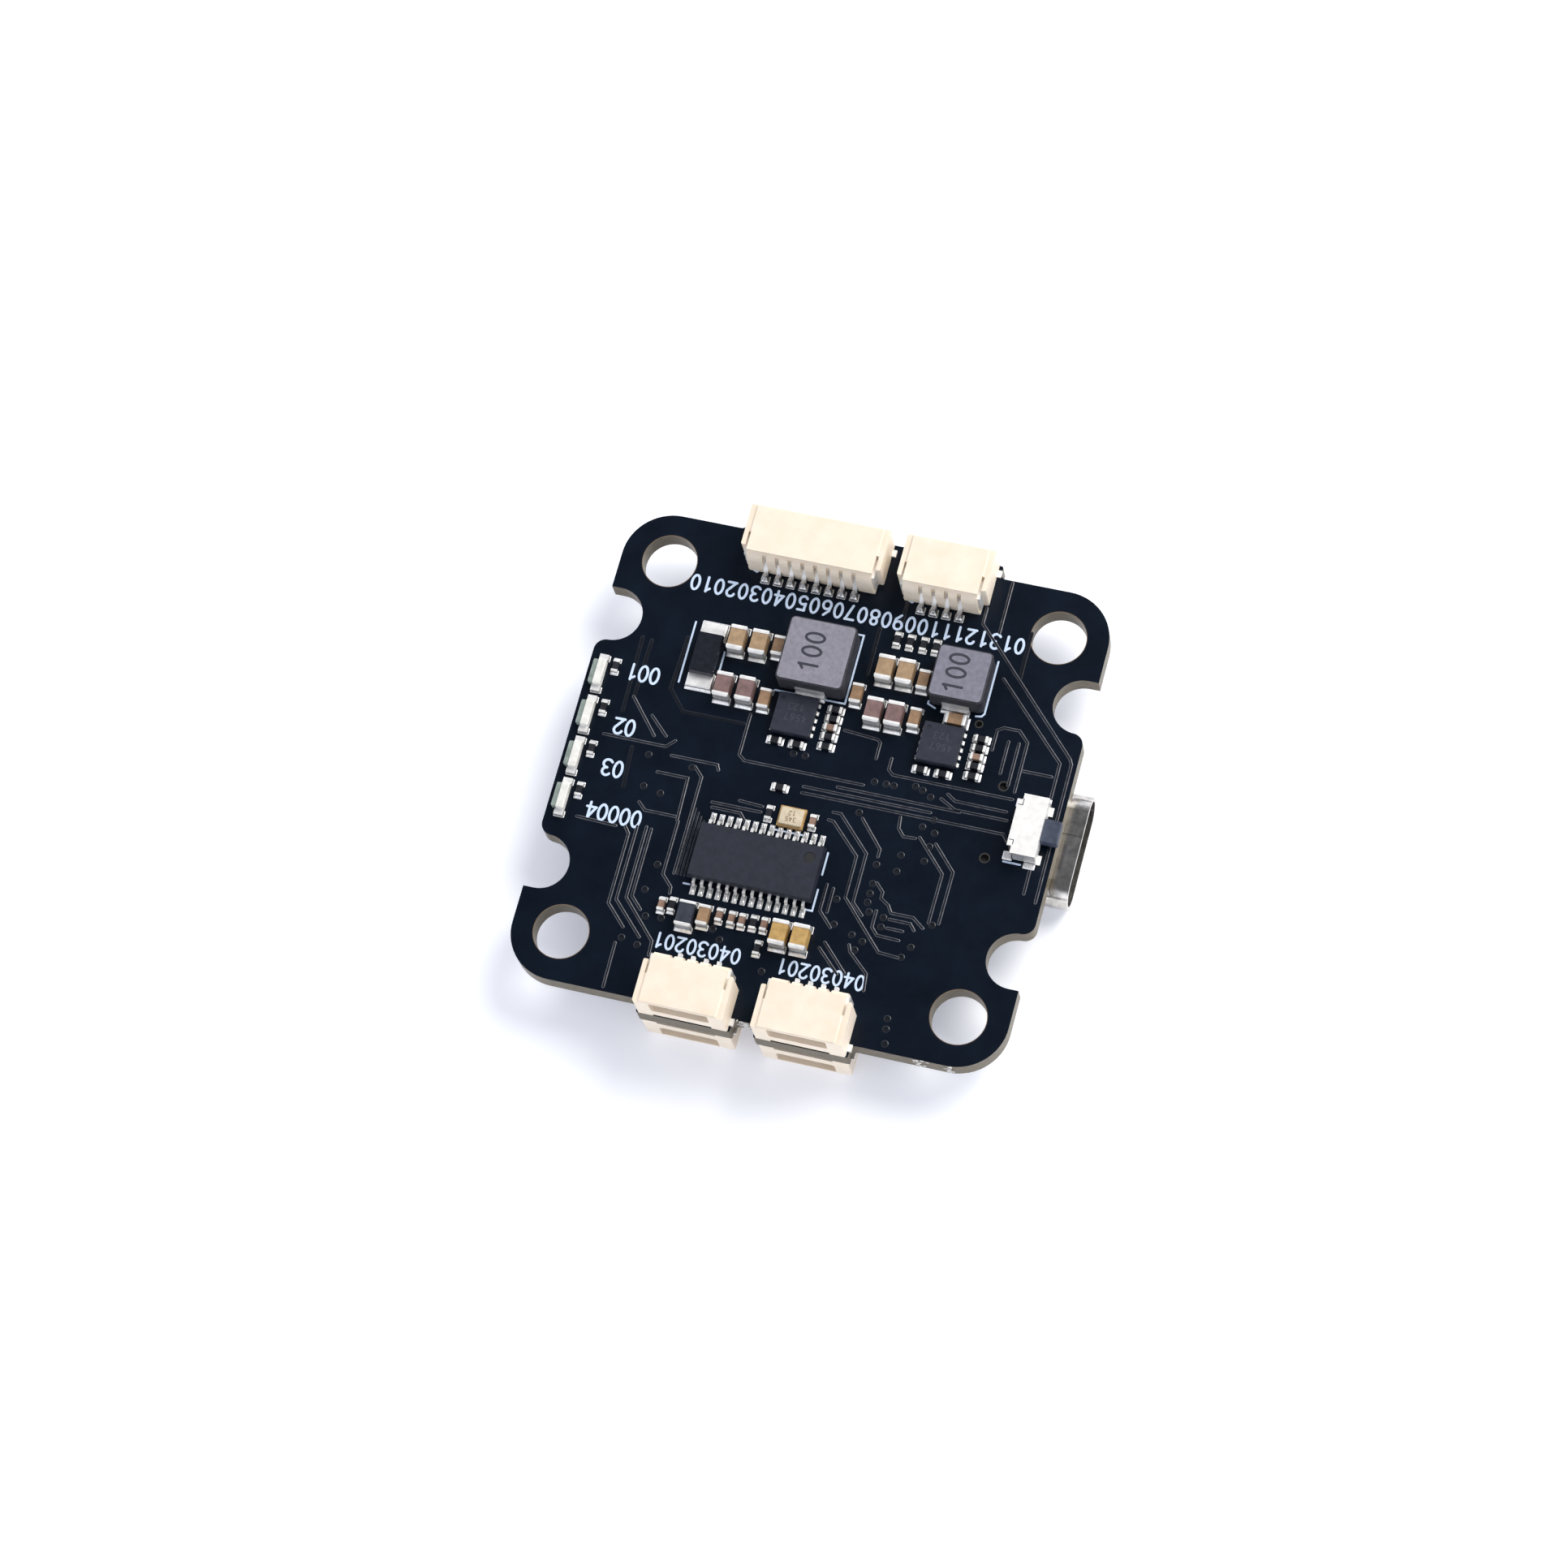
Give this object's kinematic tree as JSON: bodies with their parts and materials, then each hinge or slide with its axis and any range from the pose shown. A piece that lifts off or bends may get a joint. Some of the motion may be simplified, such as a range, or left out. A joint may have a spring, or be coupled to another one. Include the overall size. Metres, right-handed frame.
{
  "type": "flight controller board",
  "caption": "Square black circuit board for a small multirotor, with corner mounting holes, edge notches, wire sockets, a USB port, a boot button and surface-mounted parts",
  "frame": {"origin": "centre of the four mounting holes, on the underside of the laminate", "axes": "+Z out of the component side; +X towards the edge with the USB port and boot button; +Y towards the edge with the 8-way socket"},
  "size_m": [0.0396, 0.0402, 0.0078],
  "materials": {
    "black_mask": "semi-gloss black solder mask over glass-epoxy laminate",
    "socket_ivory": "moulded ivory nylon, satin",
    "tin": "bright tin plate",
    "usb_nickel": "nickel-plated drawn steel",
    "black_moulding": "black glass-filled moulding",
    "gold_contact": "gold flash over copper alloy",
    "switch_nickel": "bright nickel-plated sheet",
    "key_slate": "slate-grey moulded nylon",
    "spring_steel": "polished spring steel",
    "inductor_grey": "pressed iron powder, grey lacquer",
    "copper": "enamelled copper winding",
    "chip_epoxy": "moulded epoxy, fine spark texture",
    "sensor_lid": "nickel-plated drawn lid",
    "crystal_ceramic": "cream ceramic",
    "crystal_lid": "pale plated lid",
    "capacitor_tan": "tan fired ceramic",
    "capacitor_mauve": "mauve-brown fired ceramic",
    "capacitor_gold": "gold-brown fired ceramic",
    "ferrite_dark": "dark grey ferrite",
    "resistor_black": "black glazed overcoat on alumina",
    "led_white": "white reflector moulding",
    "led_lens": "clear resin with a pale grey-green phosphor"
  },
  "bodies": {
    "board": {"barometer_base": "black_moulding", "barometer_lid": "sensor_lid", "boot_switch_base": "black_moulding", "boot_switch_cover": "switch_nickel", "boot_switch_dome": "spring_steel", "boot_switch_terminals": "tin", "buck_chip_bodies": "chip_epoxy", "buck_chip_pads": "tin", "camera_socket_contacts": "tin", "camera_socket_housing": "socket_ivory", "capacitor_0402_bodies": "capacitor_tan", "capacitor_0402_ends": "tin", "capacitor_0603_bodies": "capacitor_tan", "capacitor_0603_ends": "tin", "capacitor_0805_ends": "tin", "capacitor_0805_gold_bodies": "capacitor_gold", "capacitor_0805_mauve_bodies": "capacitor_mauve", "capacitor_0805_tan_bodies": "capacitor_tan", "circuit_board": "black_mask", "crystal_bases": "crystal_ceramic", "crystal_lids": "crystal_lid", "diode_body": "chip_epoxy", "diode_terminals": "tin", "display_chip_body": "chip_epoxy", "display_chip_leads": "tin", "ferrite_bead_body": "ferrite_dark", "ferrite_bead_ends": "tin", "flash_memory_body": "chip_epoxy", "flash_memory_pads": "tin", "gyro_sensor": "chip_epoxy", "inductor_coils": "copper", "large_inductor_body": "inductor_grey", "large_inductor_terminals": "tin", "motor_signal_socket_contacts": "tin", "motor_signal_socket_housing": "socket_ivory", "position_sensor_socket_contacts": "tin", "position_sensor_socket_housing": "socket_ivory", "processor_body": "chip_epoxy", "processor_leads": "tin", "receiver_socket_contacts": "tin", "receiver_socket_housing": "socket_ivory", "regulator_body": "chip_epoxy", "regulator_leads": "tin", "resistor_bodies": "resistor_black", "resistor_ends": "tin", "serial_socket_contacts": "tin", "serial_socket_housing": "socket_ivory", "small_inductor_body": "inductor_grey", "small_inductor_terminals": "tin", "socket_solder_tabs": "tin", "status_led_housings": "led_white", "status_led_lenses": "led_lens", "status_led_terminals": "tin", "usb_contacts": "gold_contact", "usb_moulding": "black_moulding", "usb_shell": "usb_nickel", "video_link_socket_contacts": "tin", "video_link_socket_housing": "socket_ivory"},
    "boot_button": {"boot_switch_plunger": "key_slate"}
  },
  "joints": [
    {"name": "boot_button_press", "type": "slide", "parent": "board", "child": "boot_button", "axis": [-1, 0, 0], "range_m": [0, 0.00025], "stiffness_N_per_m": 6400}
  ]
}
